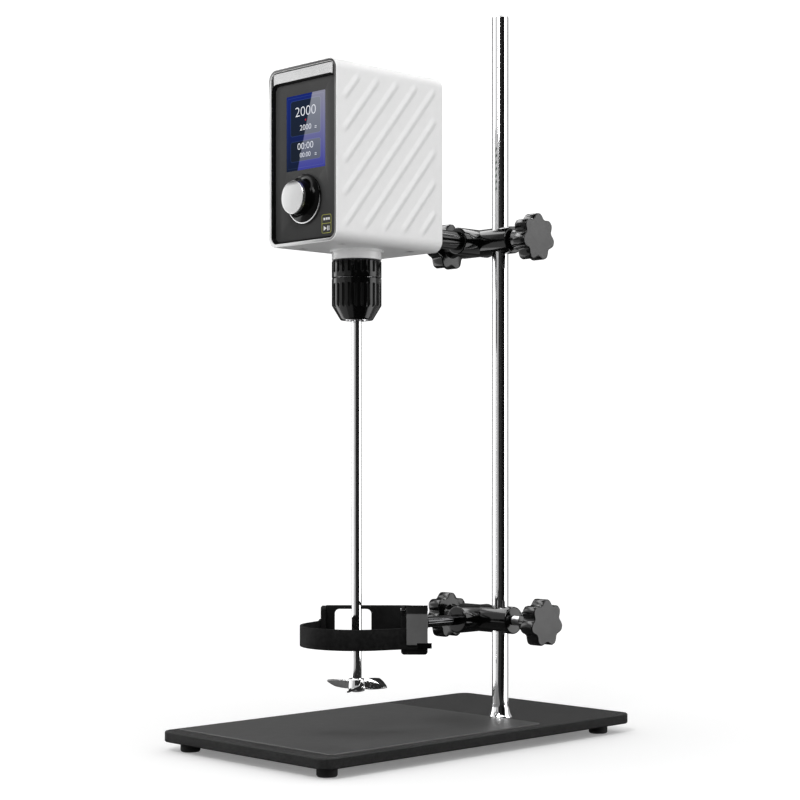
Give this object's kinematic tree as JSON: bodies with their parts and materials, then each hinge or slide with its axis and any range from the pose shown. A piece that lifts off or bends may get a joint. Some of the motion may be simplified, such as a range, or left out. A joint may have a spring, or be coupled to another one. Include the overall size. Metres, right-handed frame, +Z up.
{
  "type": "overhead stirrer",
  "caption": "Laboratory overhead stirrer with a motor head, keyless chuck, stirring shaft and impeller on a column stand, and a strap clamp that holds the vessel.",
  "frame": {"origin": "on the bench, under the middle of the base plate", "axes": "+Z up along the column and the stirring shaft, the front of the stirrer faces -Y, +X to its right"},
  "size_m": [0.2, 0.3544, 0.6105],
  "materials": {
    "black_powder_coat": "matte textured",
    "grey_mat": "smooth matte",
    "black_rubber": "matte",
    "plain_steel": "satin",
    "polished_steel": "polished",
    "bright_chrome": "mirror",
    "gloss_black_metal": "gloss",
    "cast_aluminium": "satin",
    "white_plastic": "satin",
    "silver_trim": "satin",
    "dark_panel": "gloss",
    "screen_glass": "gloss",
    "circuit_board": "satin",
    "black_plastic": "matte",
    "motor_iron": "matte",
    "gloss_black_plastic": "gloss",
    "grey_knob_plastic": "satin",
    "brass_pad": "satin",
    "strap_rubber": "satin",
    "grey_paint": "satin"
  },
  "bodies": {
    "stand": {"base_plate": "black_powder_coat", "worktop_mat": "grey_mat", "rubber_feet": "black_rubber", "foot_screws": "plain_steel", "column": "polished_steel", "column_bolt": "plain_steel", "column_collar": "bright_chrome"},
    "head_carriage": {"head_clamp": "gloss_black_metal"},
    "head": {"head_rod": "gloss_black_metal", "rod_nut": "plain_steel", "chassis": "cast_aluminium", "head_shell": "white_plastic", "rear_cover": "white_plastic", "front_bezel": "silver_trim", "front_panel": "dark_panel", "screen": "screen_glass", "display_board": "circuit_board", "control_board": "circuit_board", "knob_encoder": "black_plastic", "power_inlet": "black_plastic", "head_screws": "plain_steel", "spindle_collar": "white_plastic", "bearings": "plain_steel", "motor_can": "plain_steel", "motor_stator": "motor_iron"},
    "knob_plunger": {"knob_plunger": "black_plastic"},
    "speed_knob": {"encoder_shaft": "plain_steel", "knob_ring": "silver_trim", "knob_skirt": "gloss_black_plastic", "knob_cap": "silver_trim"},
    "spindle": {"spindle": "plain_steel", "motor_rotor": "motor_iron", "chuck_body": "plain_steel", "chuck_ring": "gloss_black_plastic"},
    "chuck_sleeve": {"chuck_sleeve": "gloss_black_plastic", "chuck_nut": "plain_steel"},
    "chuck_jaw_1": {"chuck_jaw_1": "plain_steel"},
    "chuck_jaw_2": {"chuck_jaw_2": "plain_steel"},
    "chuck_jaw_3": {"chuck_jaw_3": "plain_steel"},
    "shaft": {"stirring_shaft": "polished_steel", "impeller": "polished_steel"},
    "vessel_carriage": {"vessel_clamp": "gloss_black_metal"},
    "vessel_holder": {"vessel_rod": "polished_steel", "clamp_bracket": "black_powder_coat", "strap_frames": "black_powder_coat", "strap": "strap_rubber", "clamp_pins": "plain_steel"},
    "buckle_lever": {"buckle_lever": "grey_paint"},
    "head_column_pad": {"head_column_pad": "brass_pad"},
    "head_column_knob": {"head_column_screw": "plain_steel", "head_column_knob": "grey_knob_plastic"},
    "head_rod_pad": {"head_rod_pad": "brass_pad"},
    "head_rod_knob": {"head_rod_screw": "plain_steel", "head_rod_knob": "grey_knob_plastic"},
    "vessel_column_pad": {"vessel_column_pad": "brass_pad"},
    "vessel_column_knob": {"vessel_column_screw": "plain_steel", "vessel_column_knob": "grey_knob_plastic"},
    "vessel_rod_pad": {"vessel_rod_pad": "brass_pad"},
    "vessel_rod_knob": {"vessel_rod_screw": "plain_steel", "vessel_rod_knob": "grey_knob_plastic"}
  },
  "joints": [
    {"name": "head_height", "type": "slide", "parent": "stand", "child": "head_carriage", "axis": [0, 0, 1], "range_m": [-0.015, 0.165]},
    {"name": "head_reach", "type": "slide", "parent": "head_carriage", "child": "head", "axis": [0, 1, 0], "range_m": [-0.008, 0.008]},
    {"name": "spindle_spin", "type": "hinge", "parent": "head", "child": "spindle", "pos_m": [0.012, -0.065, 0.37], "axis": [0, 0, 1], "continuous": true},
    {"name": "chuck_turn", "type": "hinge", "parent": "spindle", "child": "chuck_sleeve", "pos_m": [0.012, -0.065, 0.37], "axis": [0, 0, -1], "range_deg": [0, 1050]},
    {"name": "jaw_1_slide", "type": "slide", "parent": "spindle", "child": "chuck_jaw_1", "axis": [0, -0.225, 0.9744], "range_m": [0, 0.0044]},
    {"name": "jaw_2_slide", "type": "slide", "parent": "spindle", "child": "chuck_jaw_2", "axis": [0.1948, 0.1125, 0.9744], "range_m": [0, 0.0044]},
    {"name": "jaw_3_slide", "type": "slide", "parent": "spindle", "child": "chuck_jaw_3", "axis": [-0.1948, 0.1125, 0.9744], "range_m": [0, 0.0044]},
    {"name": "shaft_height", "type": "slide", "parent": "spindle", "child": "shaft", "axis": [0, 0, 1], "range_m": [-0.01, 0.01]},
    {"name": "knob_push", "type": "slide", "parent": "head", "child": "knob_plunger", "axis": [0, 1, 0], "range_m": [0, 0.001], "stiffness_N_per_m": 2000},
    {"name": "knob_turn", "type": "hinge", "parent": "knob_plunger", "child": "speed_knob", "pos_m": [0.012, -0.125, 0.4385], "axis": [0, 1, 0], "continuous": true},
    {"name": "vessel_height", "type": "slide", "parent": "stand", "child": "vessel_carriage", "axis": [0, 0, 1], "range_m": [-0.05, 0.15]},
    {"name": "vessel_reach", "type": "slide", "parent": "vessel_carriage", "child": "vessel_holder", "axis": [0, 1, 0], "range_m": [-0.008, 0.008]},
    {"name": "buckle_open", "type": "hinge", "parent": "vessel_holder", "child": "buckle_lever", "pos_m": [0.06624, -0.05347, 0.1166], "axis": [-0.7071, -0.7071, 0], "range_deg": [0, 70]},
    {"name": "head_column_pad_slide", "type": "slide", "parent": "head_carriage", "child": "head_column_pad", "axis": [1, 0, 0], "range_m": [0, 0.0026]},
    {"name": "head_column_knob_turn", "type": "hinge", "parent": "head_column_pad", "child": "head_column_knob", "pos_m": [0.06, 0.079, 0.42], "axis": [1, 0, 0], "range_deg": [0, 720]},
    {"name": "head_rod_pad_slide", "type": "slide", "parent": "head_carriage", "child": "head_rod_pad", "axis": [-1, 0, 0], "range_m": [0, 0.0026]},
    {"name": "head_rod_knob_turn", "type": "hinge", "parent": "head_rod_pad", "child": "head_rod_knob", "pos_m": [-0.01, 0.079, 0.42], "axis": [-1, 0, 0], "range_deg": [0, 720]},
    {"name": "vessel_column_pad_slide", "type": "slide", "parent": "vessel_carriage", "child": "vessel_column_pad", "axis": [1, 0, 0], "range_m": [0, 0.0026]},
    {"name": "vessel_column_knob_turn", "type": "hinge", "parent": "vessel_column_pad", "child": "vessel_column_knob", "pos_m": [0.06, 0.079, 0.099], "axis": [1, 0, 0], "range_deg": [0, 720]},
    {"name": "vessel_rod_pad_slide", "type": "slide", "parent": "vessel_carriage", "child": "vessel_rod_pad", "axis": [-1, 0, 0], "range_m": [0, 0.0026]},
    {"name": "vessel_rod_knob_turn", "type": "hinge", "parent": "vessel_rod_pad", "child": "vessel_rod_knob", "pos_m": [-0.01, 0.079, 0.099], "axis": [-1, 0, 0], "range_deg": [0, 720]}
  ],
  "couplings": [
    {"joint": "head_column_pad_slide", "follows": "head_column_knob_turn", "m_per_rad": 0.00019894},
    {"joint": "head_rod_pad_slide", "follows": "head_rod_knob_turn", "m_per_rad": 0.00019894},
    {"joint": "vessel_column_pad_slide", "follows": "vessel_column_knob_turn", "m_per_rad": 0.00019894},
    {"joint": "vessel_rod_pad_slide", "follows": "vessel_rod_knob_turn", "m_per_rad": 0.00019894},
    {"joint": "jaw_1_slide", "follows": "chuck_turn", "m_per_rad": 0.00023873},
    {"joint": "jaw_2_slide", "follows": "chuck_turn", "m_per_rad": 0.00023873},
    {"joint": "jaw_3_slide", "follows": "chuck_turn", "m_per_rad": 0.00023873}
  ]
}
